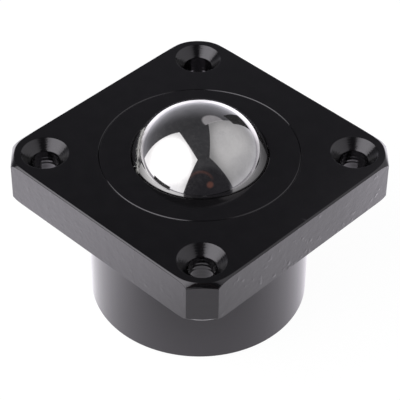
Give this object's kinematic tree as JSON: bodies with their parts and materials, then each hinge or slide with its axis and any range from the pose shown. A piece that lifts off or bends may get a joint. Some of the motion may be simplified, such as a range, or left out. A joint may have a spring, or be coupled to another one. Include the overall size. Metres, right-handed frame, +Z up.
{
  "type": "ball transfer unit",
  "caption": "Square-flanged ball transfer unit: a polished load ball that turns in every direction on a bed of race balls in a round body.",
  "frame": {"origin": "on the load ball's vertical axis, at the flange's underside, which sits on the mounting surface", "axes": "+Z up along the ball's vertical axis towards the crown; X and Y square to the flange's sides"},
  "size_m": [0.0508, 0.0508, 0.0402],
  "materials": {
    "black_finish": "gloss",
    "hardened_steel": "satin",
    "race_ball_steel": "polished",
    "load_ball_steel": "polished",
    "felt": "matte"
  },
  "bodies": {
    "housing": {"housing": "black_finish", "load_cup": "hardened_steel", "retaining_cap": "black_finish", "wiper_ring": "felt"},
    "ball_train": {"race_row_1": "race_ball_steel", "race_row_2": "race_ball_steel", "race_row_3": "race_ball_steel", "race_row_4": "race_ball_steel", "race_row_5": "race_ball_steel", "race_row_6": "race_ball_steel", "race_ball_bottom": "race_ball_steel"},
    "axis_balls": {"roll_axis_balls": "race_ball_steel"},
    "load_ball": {"load_ball": "load_ball_steel"}
  },
  "joints": [
    {"name": "train_orbit", "type": "hinge", "parent": "housing", "child": "ball_train", "pos_m": [0, 0, 0.00447], "axis": [0, 0, 1], "continuous": true},
    {"name": "roll_x", "type": "hinge", "parent": "ball_train", "child": "axis_balls", "pos_m": [0, 0, 0.00447], "axis": [1, 0, 0], "continuous": true},
    {"name": "roll_y", "type": "hinge", "parent": "axis_balls", "child": "load_ball", "pos_m": [0, 0, 0.00447], "axis": [0, 1, 0], "continuous": true}
  ]
}
